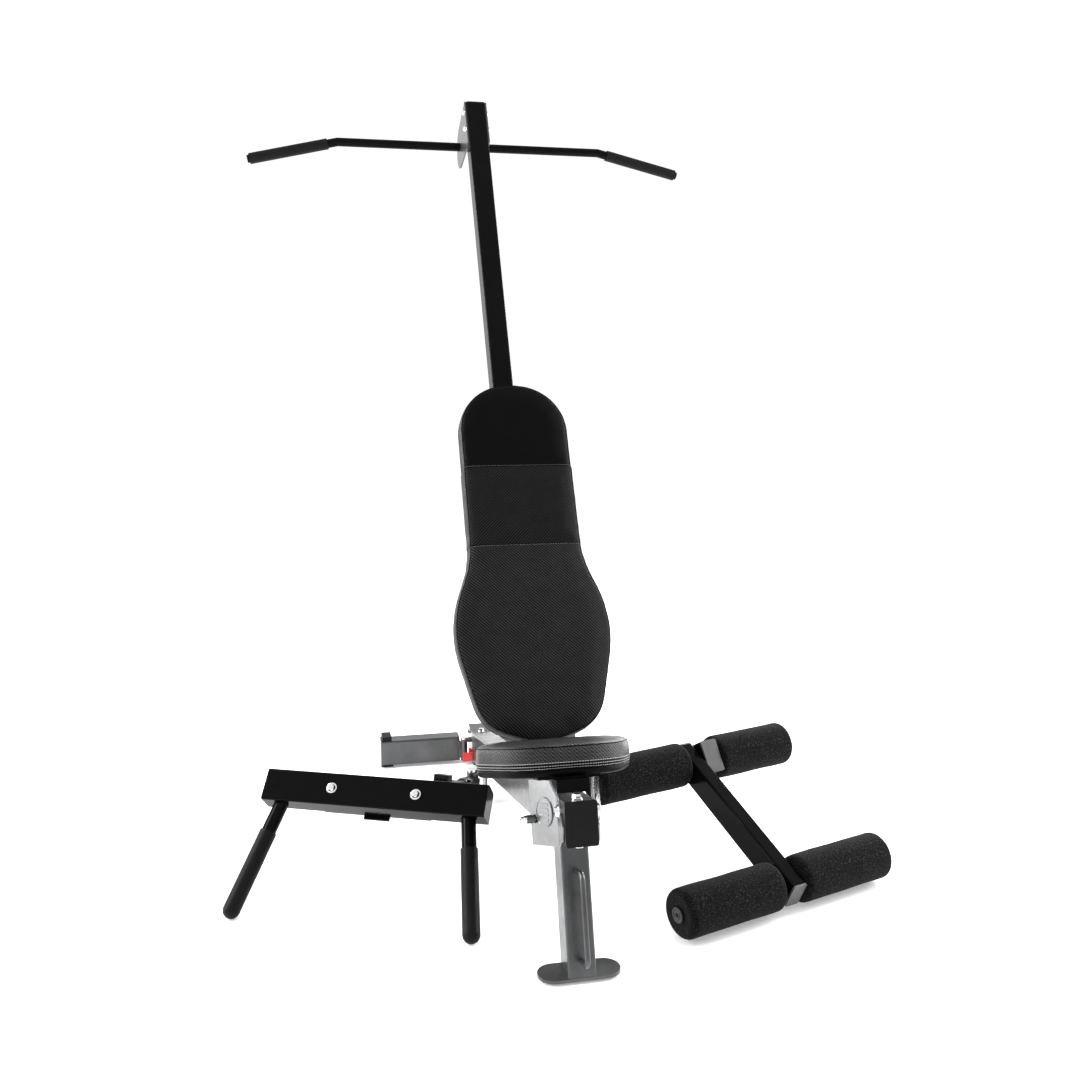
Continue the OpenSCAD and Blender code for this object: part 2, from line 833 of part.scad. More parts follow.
module dip_mount_plate() {
    color("black") at_dip() translate([0, dip_b / 2, 0]) difference() {
        union() {
            translate([-118, 0, -33]) cube([236, dip_plate_t, 57]);
            translate([-28, 0, -42]) cube([56, dip_plate_t, 20]);
        }
        dip_bolt_holes();
    }
}

module dip_bolt_holes() {
    for (side = [-1, 1]) translate([side * dip_bolt_x, 0, 0]) rotate([90, 0, 0])
        cylinder(h = 200, r = 5, center = true);
}

module dip_beam() {
    color("black") at_dip() difference() {
        translate([dip_beam_l / 2, 0, 0]) rotate([0, 0, 90]) difference() {
            box_y(dip_b, dip_a, dip_beam_l);
            translate([0, tube_wall, 0])
                box_y(dip_b - 2 * tube_wall, dip_a - 2 * tube_wall, dip_beam_l - 2 * tube_wall);
        }
        dip_bolt_holes();
    }
}

module dip_bolts() {
    color("silver") at_dip() for (side = [-1, 1]) translate([side * dip_bolt_x, dip_plate_t / 2, 0])
        rotate([0, 0, 90])
        through_bolt(4.9, dip_b + dip_plate_t, 9);
}

module dip_handle(side, r, from, l) {
    translate([side * dip_handle_x, 0, -dip_a / 2]) rotate([0, -side * dip_splay, 0])
        translate([0, 0, -from - l]) cylinder(h = l, r = r);
}

module dip_handles() {
    color("black") at_dip() difference() {
        for (side = [-1, 1]) dip_handle(side, dip_tube_r, -10, dip_handle_l - 12);
        translate([-dip_beam_l, -dip_b, -dip_a / 2]) cube([2 * dip_beam_l, 2 * dip_b, dip_a]);
    }
}

module dip_grips() {
    grip_from = 62;
    grip_l = dip_handle_l - grip_from - dip_grip_r;
    color("black") at_dip() for (side = [-1, 1]) difference() {
        union() {
            dip_handle(side, dip_grip_r, grip_from, grip_l);
            translate([side * dip_handle_x, 0, -dip_a / 2]) rotate([0, -side * dip_splay, 0])
                translate([0, 0, -grip_from - grip_l]) sphere(dip_grip_r);
        }
        dip_handle(side, dip_tube_r, -10, dip_handle_l - 12);
    }
}

// ---------- leg roller arm ----------

// Head tube at the front of the arm; the upper axle runs through it
module leg_head(l) {
    at_upper() translate([head_x, 0, 0]) rotate([-head_pitch, 0, 0]) translate([0, -head_front, 0])
        box_y(head_w, head_h, l);
}

module leg_arm() {
    head_l = 110;
    color("black") difference() {
        union() {
            leg_head(head_l);
            arm_sleeve(1);
            strut([arm_x, arm_y, arm_z], upper_pos + [1, 66, -36], arm_w, arm_h, 2.5);
        }
        translate([arm_x, arm_y, 0]) cylinder(h = 200, r = arm_pin_r);
        at_upper() rod_x(axle_r, 200);
        translate([arm_x - 60, arm_y - 80, arm_z + 25]) cube([120, 160, 100]);
        translate([arm_x - 60, arm_y - 80, arm_z - 25 - 100]) cube([120, 160, 100]);
    }
}

module leg_arm_cap() {
    color("lightgray") at_upper() translate([head_x, 0, 0]) rotate([-head_pitch, 0, 0])
        translate([0, -head_front - 4, 0]) box_y(head_w, head_h, 4);
}

// Axle tube with a plug in each end
module axle() {
    rod_x(axle_r, 2 * axle_half);
    for (side = [-1, 1]) translate([side * (axle_half + 1.5), 0, 0]) rod_x(16, 3);
}

module upper_axle() {
    color("black") at_upper() axle();
}

module lower_axle() {
    color("black") at_link() translate([lower_shift, link_l, 0]) axle();
}

// The link is off the middle of the axles, so that it clears the arm's head
module link_tube() {
    color("dimgray") at_link() difference() {
        translate([-link_x, -link_back, 0])
            tube_y(link_w, link_h, link_back + link_l + link_past, tube_wall);
        rod_x(axle_r + running_gap, 200);
        translate([0, link_l, 0]) rod_x(axle_r, 200);
    }
}

module link_end_cap() {
    cap_t = 4;
    color("lightgray") at_link() translate([-link_x, 0, 0]) {
        translate([0, link_l + link_past, 0]) box_y(link_w, link_h, cap_t);
        translate([0, -link_back - cap_t, 0]) box_y(link_w, link_h, cap_t);
    }
}

// Foam sleeve along +X, with rounded rims, from one distance to another
module roller(from, to) {
    rim = 9;
    l = to - from;
    translate([from, 0, 0]) rotate([0, 90, 0]) rotate_extrude($fn = 96) {
        translate([axle_r + running_gap, 0]) square([roller_r - rim - axle_r - running_gap, l]);
        translate([axle_r + running_gap, rim]) square([roller_r - axle_r - running_gap, l - 2 * rim]);
        for (y = [rim, l - rim]) translate([roller_r - rim, y]) circle(rim);
    }
}

module long_roller(shift) {
    roller(roller_gap + shift, roller_gap + shift + roller_l);
}

// The upper right roller starts beyond the arm's head
module roller_upper_right() {
    color("#222222") at_upper() roller(head_x + head_w / 2 + 1.5, roller_gap + roller_l);
}

module roller_upper_left() { color("#222222") at_upper() mirror_x() long_roller(0); }

// The lower pair sits a little to the left of the upper one
module roller_lower_right() {
    color("#222222") at_link() translate([0, link_l, 0]) mirror_x() long_roller(-lower_shift);
}

module roller_lower_left() {
    color("#222222") at_link() translate([0, link_l, 0]) long_roller(lower_shift);
}

spine_tube();
spine_front_cap();
spine_front_bolt();
front_leg();
foot_plate();
leg_grab_handle();
rear_hub();
hub_bolts();
foot_hinge_pins();
rear_foot_left();
rear_foot_right();
rear_foot_boot_left();
rear_foot_boot_right();
lock_lever_left();
lock_lever_right();
seat_plate_left();
seat_plate_right();
seat_cross_plate();
seat_riser();
seat_medallions();
seat_pivot_bolt();
seat_board();
seat_pad();
seat_pin_housing();
seat_pull_pin();
back_hinge_ears();
back_pivot_bolt();
incline_bracket();
incline_pin_housing();
incline_pull_pin();
mast_tube();
mast_cap();
incline_quadrant();
backrest_mounts();
backrest_board();
backrest_pad();
chin_plates();
chin_plate_bolts();
chin_bar();
chin_grips();
arm_yoke_left();
arm_yoke_right();
arm_pins();
dip_arm();
dip_bumper();
dip_mount_plate();
dip_beam();
dip_bolts();
dip_handles();
dip_grips();
leg_arm();
leg_arm_cap();
upper_axle();
link_tube();
link_end_cap();
lower_axle();
roller_upper_left();
roller_upper_right();
roller_lower_left();
roller_lower_right();
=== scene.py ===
import json
import math
import bmesh
import bpy
import numpy as np
from mathutils import Matrix, Vector
from mathutils.bvhtree import BVHTree
from mathutils.kdtree import KDTree


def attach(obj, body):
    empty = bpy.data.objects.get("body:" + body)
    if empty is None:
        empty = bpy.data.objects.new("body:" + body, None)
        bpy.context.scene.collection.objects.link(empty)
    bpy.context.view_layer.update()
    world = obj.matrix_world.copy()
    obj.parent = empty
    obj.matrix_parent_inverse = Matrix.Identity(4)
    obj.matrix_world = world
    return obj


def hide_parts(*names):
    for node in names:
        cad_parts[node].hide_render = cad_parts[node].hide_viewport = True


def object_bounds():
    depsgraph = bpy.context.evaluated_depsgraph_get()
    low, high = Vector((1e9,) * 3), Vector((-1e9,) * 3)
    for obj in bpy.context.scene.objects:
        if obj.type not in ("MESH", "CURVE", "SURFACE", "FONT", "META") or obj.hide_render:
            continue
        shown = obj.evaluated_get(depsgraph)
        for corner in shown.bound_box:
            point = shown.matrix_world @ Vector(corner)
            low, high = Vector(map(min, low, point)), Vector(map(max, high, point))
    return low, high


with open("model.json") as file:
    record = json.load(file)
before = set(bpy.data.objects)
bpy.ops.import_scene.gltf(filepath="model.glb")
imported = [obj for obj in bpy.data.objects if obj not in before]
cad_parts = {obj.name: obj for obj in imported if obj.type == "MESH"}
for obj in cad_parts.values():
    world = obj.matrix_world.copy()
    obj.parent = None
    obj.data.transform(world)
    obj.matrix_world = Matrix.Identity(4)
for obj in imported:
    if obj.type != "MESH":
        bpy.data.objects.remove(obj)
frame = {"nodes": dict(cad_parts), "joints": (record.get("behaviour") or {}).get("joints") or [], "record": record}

CAD_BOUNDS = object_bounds()
NODES = frame["nodes"]
JOINTS = {j["name"]: j for j in frame["joints"]}
MM = 0.001


# ---------- frames of the sub-assemblies ----------

def turn(axis, degrees):
    return Matrix.Rotation(math.radians(degrees), 4, axis)


def pivot(joint):
    return Matrix.Translation(Vector(JOINTS[joint]["pos_m"]))


SEAT_TILT = 17
BACK_LEAN = 28
AT_SEAT = pivot("seat_tilt") @ turn("X", -SEAT_TILT)
AT_BACK = pivot("backrest_incline") @ turn("X", -BACK_LEAN)
# The backrest's front face in the plane of the pad: width, height, and outward
AT_BACK_PAD = AT_BACK @ turn("X", 90)
BACK_SEAM_HIGH = 603.8 * MM
BACK_SEAM_LOW = 421 * MM


# ---------- shader helpers ----------

class Shader:
    """A material's node tree, with short ways to add to it."""

    def __init__(self, name, slot_colour, rough, metal=0.0, spec=0.5, coat=0.0, coat_rough=0.05, sheen=0.0):
        self.mat = bpy.data.materials.new(name)
        self.mat.use_nodes = True
        self.tree = self.mat.node_tree
        self.tree.nodes.clear()
        out = self.tree.nodes.new("ShaderNodeOutputMaterial")
        self.bsdf = self.tree.nodes.new("ShaderNodeBsdfPrincipled")
        self.tree.links.new(self.bsdf.outputs[0], out.inputs[0])
        self.put("Base Color", (*slot_colour, 1))
        self.put("Roughness", rough)
        self.put("Metallic", metal)
        self.put("Specular IOR Level", spec)
        self.put("Coat Weight", coat)
        self.put("Coat Roughness", coat_rough)
        self.put("Sheen Weight", sheen)
        self.mat.diffuse_color = (*slot_colour, 1)
        self.coords = self.tree.nodes.new("ShaderNodeTexCoord")

    def put(self, socket, value):
        if isinstance(value, bpy.types.NodeSocket):
            self.tree.links.new(value, self.bsdf.inputs[socket])
        else:
            self.bsdf.inputs[socket].default_value = value

    def node(self, kind, inputs=None, **props):
        n = self.tree.nodes.new(kind)
        for k, v in props.items():
            setattr(n, k, v)
        for k, v in (inputs or {}).items():
            if isinstance(v, bpy.types.NodeSocket):
                self.tree.links.new(v, n.inputs[k])
            else:
                n.inputs[k].default_value = v
        return n

    def math(self, op, a, b=0.0, c=0.0, clamp=False):
        return self.node("ShaderNodeMath", {0: a, 1: b, 2: c}, operation=op, use_clamp=clamp).outputs[0]

    def where(self):
        return self.coords.outputs["Object"]

    def noise(self, scale, detail=3.0, rough=0.5, vector=None):
        inputs = {"Vector": vector or self.where(), "Scale": scale, "Detail": detail, "Roughness": rough}
        return self.node("ShaderNodeTexNoise", inputs).outputs["Fac"]

    def cells(self, scale):
        return self.node("ShaderNodeTexVoronoi", {"Vector": self.where(), "Scale": scale}).outputs["Distance"]

    def stretched(self, sx, sy, sz, vector=None):
        inputs = {"Vector": vector or self.where(), "Scale": (sx, sy, sz)}
        return self.node("ShaderNodeMapping", inputs).outputs[0]

    def ramp(self, fac, low, high, a, b):
        """fac from low to high mapped to a to b."""
        return self.node("ShaderNodeMapRange", {0: fac, 1: low, 2: high, 3: a, 4: b}).outputs[0]

    def mix(self, fac, a, b):
        n = self.node("ShaderNodeMix", data_type="RGBA")
        for i, v in ((0, fac), (6, a), (7, b)):
            if isinstance(v, bpy.types.NodeSocket):
                self.tree.links.new(v, n.inputs[i])
            else:
                n.inputs[i].default_value = v if i == 0 else (*v, 1)
        return n.outputs[2]

    def bump(self, height, distance, strength=1.0, bevel=0.0, after=None):
        inputs = {"Height": height, "Distance": distance, "Strength": strength}
        if after is not None:
            inputs["Normal"] = after
        elif bevel:
            inputs["Normal"] = self.node("ShaderNodeBevel", {"Radius": bevel}, samples=4).outputs[0]
        out = self.node("ShaderNodeBump", inputs).outputs[0]
        self.put("Normal", out)
        return out


def painted(name, colour, rough, metal, spec, coat, grain=0.00004, grain_scale=1400, bevel=0.0012, vary=0.25):
    """Powder coat or gloss paint: fine orange peel, dust-soft roughness and slight wear of tone."""
    s = Shader(name, colour, rough, metal, spec, coat, 0.06)
    large = s.noise(9, 4, 0.6)
    fine = s.noise(grain_scale, 2, 0.5)
    dark = tuple(c * (1 - vary) for c in colour)
    light = tuple(c * (1 + vary) for c in colour)
    s.put("Base Color", s.mix(s.ramp(large, 0.3, 0.7, 0, 1), dark, light))
    s.put("Roughness", s.ramp(s.noise(34, 5, 0.65), 0.3, 0.75, rough * 0.85, min(1, rough * 1.3)))
    s.bump(fine, grain, 0.6, bevel)
    return s.mat


def brushed(name, colour, rough, along=(1, 1, 1), bevel=0.0008):
    """Bare or plated metal with fine drawn lines and faint smudges."""
    s = Shader(name, colour, rough, 1.0, 0.5)
    lines = s.noise(900, 3, 0.6, s.stretched(*along))
    smudge = s.noise(26, 5, 0.7)
    drawn = s.ramp(lines, 0.3, 0.7, rough * 0.7, rough * 1.2)
    s.put("Roughness", s.math("ADD", drawn, s.ramp(smudge, 0.45, 0.8, 0, 0.12)))
    tone = s.ramp(smudge, 0.3, 0.8, 0, 1)
    s.put("Base Color", s.mix(tone, colour, tuple(c * 0.82 for c in colour)))
    s.bump(lines, 0.00002, 0.5, bevel)
    return s.mat


def polished(name, colour, rough):
    s = Shader(name, colour, rough, 1.0, 0.5)
    haze = s.noise(60, 4, 0.6)
    s.put("Roughness", s.ramp(haze, 0.4, 0.8, rough, rough * 2.4))
    s.put("Base Color", s.mix(s.ramp(haze, 0.3, 0.9, 0, 1), colour, tuple(c * 0.88 for c in colour)))
    s.bump(s.noise(500, 2, 0.5), 0.00001, 0.4, 0.0006)
    return s.mat


def moulded(name, colour, rough, scale=900, depth=0.00006, spec=0.4, bevel=0.001):
    """Rubber or plastic with a fine spark-eroded skin."""
    s = Shader(name, colour, rough, 0.0, spec)
    cells = s.cells(scale)
    s.put("Roughness", s.ramp(s.noise(40, 5, 0.65), 0.3, 0.75, rough * 0.85, min(1, rough * 1.2)))
    dark = tuple(c * 0.75 for c in colour)
    light = tuple(c * 1.35 for c in colour)
    s.put("Base Color", s.mix(s.noise(22, 4, 0.6), dark, light))
    s.bump(cells, depth, 0.5, bevel)
    return s.mat


def foam_mat():
    """Closed-cell foam: small open pores, a dusty matt skin and a little unevenness."""
    s = Shader("foam_skin", (0.008, 0.008, 0.0085), 0.85, 0.0, 0.05, sheen=0.015)
    s.put("Sheen Roughness", 0.6)
    pores = s.cells(420)
    grit = s.noise(900, 3, 0.7)
    lumps = s.noise(60, 4, 0.6)
    height = s.math("ADD", s.math("MULTIPLY", pores, 0.6), s.math("MULTIPLY", grit, 0.6))
    first = s.bump(lumps, 0.0009, 0.5)
    s.bump(height, 0.00075, 0.9, after=first)
    speck = s.ramp(s.noise(330, 3, 0.8), 0.54, 0.72, 0, 1)
    s.put("Base Color", s.mix(speck, (0.0020, 0.0020, 0.0021), (0.046, 0.046, 0.048)))
    return s.mat


def vinyl(name, zones=False, weave=1.0, pitch=0.0050, spec=0.055, ridge_highlight_tone=0.030):
    """Black upholstery vinyl pressed with a slanting carbon weave. It follows the UV map "weave", in metres.
    With zones, the weave changes slant at the low seam and gives way to plain grain above the high seam."""
    s = Shader(name, (0.006, 0.006, 0.0065), 0.40, 0.0, spec)
    uv = s.node("ShaderNodeUVMap", uv_map="weave").outputs[0]
    sep = s.node("ShaderNodeSeparateXYZ", {0: uv})
    u, v = sep.outputs[0], sep.outputs[1]
    plain = 0.0
    if zones:
        up = s.node("ShaderNodeSeparateXYZ", {0: s.where()}).outputs[1]
        mid = s.math("GREATER_THAN", up, BACK_SEAM_LOW)
        plain = s.math("GREATER_THAN", up, BACK_SEAM_HIGH)
        slant = s.math("SUBTRACT", 1.0, s.math("MULTIPLY", mid, 2.0))
        v = s.math("MULTIPLY", v, slant)
    ridge_pos = s.math("ADD", u, v)
    thread_pos = s.math("SUBTRACT", u, v)
    wave = math.tau / (pitch * math.sqrt(2))
    ridge = s.math("SINE", s.math("MULTIPLY", ridge_pos, wave))
    # Threads run across the ridges and step by half a thread from one ridge to the next
    step = s.math("MULTIPLY", s.math("FLOOR", s.math("MULTIPLY", ridge_pos, wave / math.tau)), math.pi)
    thread = s.math("SINE", s.math("ADD", s.math("MULTIPLY", thread_pos, wave * 1.35), step))
    height = s.math("ADD", s.ramp(ridge, -1, 0.6, 0, 0.8), s.ramp(thread, -1, 1, 0, 0.35))
    if zones:
        shown = s.math("SUBTRACT", s.math("SUBTRACT", 1.0, s.math("MULTIPLY", mid, 0.22)), plain, clamp=True)
        height = s.math("MULTIPLY", height, shown)
    height = s.math("MULTIPLY", height, weave)
    grain = s.cells(650)
    rough_noise = s.noise(30, 5, 0.65)
    first = s.bump(s.noise(26, 3, 0.5), 0.0006, 0.25)
    second = s.bump(grain, 0.00008, 0.5, after=first)
    s.bump(height, 0.00060, 1.0, after=second)
    # Painted highlight and painted shade: the colour goes from near-black in the grooves to lighter on the ridge
    # tops, following the weave's height
    tone = s.math("MULTIPLY", s.ramp(height, 0.45, 1.05, 0, 1), s.ramp(rough_noise, 0.3, 0.7, 0.7, 1.0))
    s.put("Base Color", s.mix(tone, (0.0008, 0.0008, 0.0009), (ridge_highlight_tone, ridge_highlight_tone, ridge_highlight_tone * 1.03)))
    worn = s.ramp(rough_noise, 0.3, 0.75, 0.38, 0.50)
    s.put("Roughness", s.math("SUBTRACT", worn, s.math("MULTIPLY", height, 0.10)))
    return s.mat


def thread_mat(name, dark, light):
    s = Shader(name, light, 0.7, 0.0, 0.2, sheen=0.1)
    ply = s.node("ShaderNodeTexWave", {"Vector": s.where(), "Scale": 900, "Distortion": 1.5}).outputs["Fac"]
    s.bump(ply, 0.0001, 0.6)
    s.put("Base Color", s.mix(ply, dark, light))
    return s.mat


def board_mat():
    """Dark backing board with a napped cover cloth."""
    s = Shader("board_cover", (0.02, 0.019, 0.018), 0.85, 0.0, 0.25, sheen=0.05)
    nap = s.noise(700, 3, 0.7)
    s.put("Base Color", s.mix(nap, (0.012, 0.0115, 0.011), (0.045, 0.042, 0.040)))
    s.bump(nap, 0.0003, 0.7, 0.001)
    return s.mat


M_GREY = painted("grey_coat", (0.075, 0.076, 0.078), 0.30, 0.8, 0.35, 0.10)
M_BLACK = painted("gloss_coat", (0.0022, 0.0022, 0.0024), 0.15, 0.0, 0.035, 0.03, 0.00002, 700, 0.0014)
M_SILVER = brushed("satin_plate", (0.27, 0.272, 0.275), 0.22, (1, 1, 8))
M_CHROME = polished("chrome_plate", (0.78, 0.78, 0.80), 0.07)
M_RUBBER = moulded("soft_rubber", (0.0055, 0.0055, 0.006), 0.42, 700, 0.00008, 0.07)
M_PLASTIC = moulded("black_moulding", (0.007, 0.007, 0.0075), 0.38, 1100, 0.00004, 0.08)
M_LIGHT = moulded("light_moulding", (0.055, 0.055, 0.057), 0.34, 1000, 0.00004)
M_RED = moulded("red_dip_coat", (0.55, 0.014, 0.012), 0.32, 160, 0.00012, 0.5)
M_PLUG = moulded("plug_moulding", (0.020, 0.020, 0.021), 0.40, 1100, 0.00004, 0.2)
M_BOARD = board_mat()
M_FOAM = foam_mat()
# The seat's weave gets a brighter painted highlight on its ridge tops
M_WEAVE = vinyl("weave_vinyl", spec=0.22, ridge_highlight_tone=0.042)
M_WEAVE_BACK = vinyl("weave_vinyl_back", zones=True)
M_SMOOTH = vinyl("plain_vinyl", weave=0.0)
M_THREAD = thread_mat("stitch_thread", (0.34, 0.34, 0.33), (0.66, 0.66, 0.64))
M_GREY_THREAD = thread_mat("grey_thread", (0.07, 0.07, 0.07), (0.16, 0.16, 0.155))

SLOT_MATERIALS = {
    "frame_grey": M_GREY, "plate_silver": M_SILVER, "gloss_black": M_BLACK, "chrome": M_CHROME,
    "black_rubber": M_RUBBER, "black_plastic": M_PLASTIC, "grey_plastic": M_LIGHT,
    "red_dip": M_RED, "board": M_BOARD, "vinyl": M_SMOOTH, "foam": M_FOAM,
}


# ---------- mesh helpers ----------

def new_piece(name, verts, faces, place, material, body, smooth=True):
    me = bpy.data.meshes.new(name)
    me.from_pydata([tuple(v) for v in verts], [], faces)
    me.validate()
    bm = bmesh.new()
    bm.from_mesh(me)
    bmesh.ops.recalc_face_normals(bm, faces=bm.faces)
    bm.to_mesh(me)
    bm.free()
    for p in me.polygons:
        p.use_smooth = smooth
    ob = bpy.data.objects.new(name, me)
    bpy.context.scene.collection.objects.link(ob)
    ob.matrix_world = place
    me.materials.append(material)
    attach(ob, body)
    return ob


def merge(parts):
    """Several (verts, faces) lists as one."""
    verts, faces = [], []
    for v, f in parts:
        base = len(verts)
        verts += list(v)
        faces += [tuple(i + base for i in face) for face in f]
    return verts, faces


def tube(points, radius, sides=8, closed=False, ends=True):
    """A round tube through the points. The radius may be a number or one for each point."""
    pts = [Vector(p) for p in points]
    n = len(pts)
    radii = [radius] * n if isinstance(radius, (int, float)) else radius
    verts, faces = [], []
    up = None
    for i, p in enumerate(pts):
        a = pts[(i - 1) % n] if closed or i > 0 else pts[i]
        b = pts[(i + 1) % n] if closed or i < n - 1 else pts[i]
        along = (b - a).normalized()
        if up is None:
            up = along.orthogonal().normalized()
        up = (up - along * up.dot(along)).normalized()
        side = along.cross(up)
        for k in range(sides):
            t = math.tau * k / sides
            verts.append(p + (up * math.cos(t) + side * math.sin(t)) * radii[i])
    last = n if closed else n - 1
    for i in range(last):
        for k in range(sides):
            j = (k + 1) % sides
            a, b = i * sides, ((i + 1) % n) * sides
            faces.append((a + k, a + j, b + j, b + k))
    if ends and not closed:
        faces.append(tuple(range(sides - 1, -1, -1)))
        faces.append(tuple((n - 1) * sides + k for k in range(sides)))
    return verts, faces


def lathe(profile, sides=48):
    """Turns (distance along X, radius) pairs about the X axis. A radius of 0 closes the end."""
    verts, faces, rings = [], [], []
    for x, r in profile:
        if r == 0:
            rings.append([len(verts)])
            verts.append(Vector((x, 0, 0)))
        else:
            rings.append(list(range(len(verts), len(verts) + sides)))
            for k in range(sides):
                t = math.tau * k / sides
                verts.append(Vector((x, r * math.cos(t), r * math.sin(t))))
    for a, b in zip(rings, rings[1:]):
        for k in range(sides):
            j = (k + 1) % sides
            if len(a) == 1:
                faces.append((a[0], b[j], b[k]))
            elif len(b) == 1:
                faces.append((a[k], a[j], b[0]))
            else:
                faces.append((a[k], a[j], b[j], b[k]))
    return verts, faces


def resample(loop, step, closed=True):
    """Evenly spaced points along a polyline of Vectors."""
    pts = loop + [loop[0]] if closed else loop
    lengths = [(b - a).length for a, b in zip(pts, pts[1:])]
    total = sum(lengths)
    count = max(3, int(round(total / step)))
    out, i, gone = [], 0, 0.0
    for k in range(count if closed else count + 1):
        target = total * k / count
        while i < len(lengths) - 1 and gone + lengths[i] < target:
            gone += lengths[i]
            i += 1
        t = (target - gone) / lengths[i] if lengths[i] else 0
        out.append(pts[i].lerp(pts[i + 1], min(1, t)))
    return out


def outline(node, place):
    """The rim of a CAD pad's front face, in the pad's own frame, and the pad's lowest and highest depth."""
    bm = bmesh.new()
    bm.from_mesh(NODES[node].data)
    bmesh.ops.transform(bm, matrix=place.inverted(), verts=bm.verts)
    bmesh.ops.remove_doubles(bm, verts=bm.verts, dist=1e-5)
    low = min(v.co.z for v in bm.verts)
    high = max(v.co.z for v in bm.verts)
    follow = {}
    for e in bm.edges:
        if all(abs(v.co.z - high) < 1e-5 for v in e.verts) and len(e.link_faces) == 2:
            if min(abs(f.normal.z) for f in e.link_faces) < 0.5:
                a, b = e.verts
                follow.setdefault(a, []).append(b)
                follow.setdefault(b, []).append(a)
    start = min(follow, key=lambda v: (v.co.y, v.co.x))
    loop, previous, here = [], None, start
    while True:
        loop.append(Vector((here.co.x, here.co.y, 0)))
        onward = [v for v in follow[here] if v is not previous]
        previous, here = here, onward[0]
        if here is start or len(loop) > 5000:
            break
    bm.free()
    area = sum(a.x * b.y - a.y * b.x for a, b in zip(loop, loop[1:] + loop[:1]))
    if area < 0:
        loop.reverse()
    return loop, low, high


def inset(loop, distance):
    """The closed loop moved inward, loop running counter-clockwise."""
    n = len(loop)
    out = []
    for i in range(n):
        along = (loop[(i + 1) % n] - loop[i - 1]).normalized()
        out.append(loop[i] + Vector((-along.y, along.x, 0)) * distance)
    return out


def loft(loop, profile):
    """A closed solid of rings: each pair is how far the loop moves in, and its height."""
    verts, faces = [], []
    n = len(loop)
    for d, z in profile:
        verts += [Vector((p.x, p.y, z)) for p in inset(loop, d)]
    for r in range(len(profile) - 1):
        for k in range(n):
            j = (k + 1) % n
            faces.append((r * n + k, r * n + j, (r + 1) * n + j, (r + 1) * n + k))
    faces.append(tuple(range(n - 1, -1, -1)))
    faces.append(tuple((len(profile) - 1) * n + k for k in range(n)))
    return verts, faces


def smooth_points(co, edges, rounds, weight):
    """Laplacian smoothing of an (n, 3) array."""
    count = np.zeros(len(co))
    np.add.at(count, edges.ravel(), 1)
    for _ in range(rounds):
        total = np.zeros_like(co)
        np.add.at(total, edges[:, 0], co[edges[:, 1]])
        np.add.at(total, edges[:, 1], co[edges[:, 0]])
        co = co + weight * (total / count[:, None] - co)
    return co


def mesh_points(me):
    co = np.zeros(len(me.vertices) * 3)
    me.vertices.foreach_get("co", co)
    return co.reshape(-1, 3)


def mesh_edges(me):
    ed = np.zeros(len(me.edges) * 2, np.int64)
    me.edges.foreach_get("vertices", ed)
    return ed.reshape(-1, 2)


def near_lines(co, lines):
    """Distance of each point to the nearest of the lines' points."""
    points = [p for line in lines for p in line]
    tree = KDTree(len(points))
    for i, p in enumerate(points):
        tree.insert(p, i)
    tree.balance()
    return np.array([tree.find(Vector(p))[2] for p in co])


def cushion(name, loop, profile, place, voxel, swell, held_lines, light_lines, held_below, pressure):
    """A sewn pad: a lofted starting shape, remeshed evenly, then blown up as cloth held along its seams.
    held_lines are seam polylines in the pad's frame, light_lines are seams that only half hold.
    Nothing moves further than swell."""
    verts, faces = loft(loop, profile)
    me = bpy.data.meshes.new(name)
    me.from_pydata([tuple(v) for v in verts], [], faces)
    ob = bpy.data.objects.new(name, me)
    bpy.context.scene.collection.objects.link(ob)
    bpy.context.view_layer.objects.active = ob
    remesh = ob.modifiers.new("even", "REMESH")
    remesh.mode = "VOXEL"
    remesh.voxel_size = voxel
    deps = bpy.context.evaluated_depsgraph_get()
    even = bpy.data.meshes.new_from_object(ob.evaluated_get(deps))
    ob.modifiers.clear()
    ob.data = even
    co = smooth_points(mesh_points(even), mesh_edges(even), 4, 0.5)
    even.vertices.foreach_set("co", co.ravel())
    even.update()
    hold = np.clip(1.25 - near_lines(co, held_lines) / (voxel * 1.1), 0, 1)
    if light_lines:
        hold = np.maximum(hold, 0.5 * np.clip(1.25 - near_lines(co, light_lines) / voxel, 0, 1))
    hold[co[:, 2] < held_below] = 1
    group = ob.vertex_groups.new(name="seams")
    for i in np.nonzero(hold > 0)[0]:
        group.add([int(i)], float(hold[i]), "REPLACE")
    cloth = ob.modifiers.new("cloth", "CLOTH")
    cloth.settings.quality = 4
    cloth.settings.mass = 0.3
    cloth.settings.tension_stiffness = 14
    cloth.settings.compression_stiffness = 14
    cloth.settings.shear_stiffness = 6
    cloth.settings.bending_stiffness = 2.0
    cloth.settings.use_pressure = True
    cloth.settings.uniform_pressure_force = pressure
    cloth.settings.shrink_min = -0.004
    cloth.settings.vertex_group_mass = "seams"
    cloth.settings.effector_weights.gravity = 0
    cloth.collision_settings.use_collision = False
    for f in range(1, 21):
        bpy.context.scene.frame_set(f)
    deps = bpy.context.evaluated_depsgraph_get()
    blown = mesh_points(ob.evaluated_get(deps).data)
    ob.modifiers.clear()
    bpy.context.scene.frame_set(1)
    move = blown - co
    far = np.linalg.norm(move, axis=1, keepdims=True)
    move *= np.minimum(1, swell / np.maximum(far, 1e-9))
    co = co + move
    free = smooth_points(co, mesh_edges(even), 5, 0.5)
    co = np.where((hold < 0.9)[:, None], free, co)
    even.vertices.foreach_set("co", co.ravel())
    even.update()
    sub = ob.modifiers.new("smooth", "SUBSURF")
    sub.levels = sub.render_levels = 1
    deps = bpy.context.evaluated_depsgraph_get()
    final = bpy.data.meshes.new_from_object(ob.evaluated_get(deps))
    ob.modifiers.clear()
    ob.data = final
    for p in final.polygons:
        p.use_smooth = True
    ob.matrix_world = place
    return ob


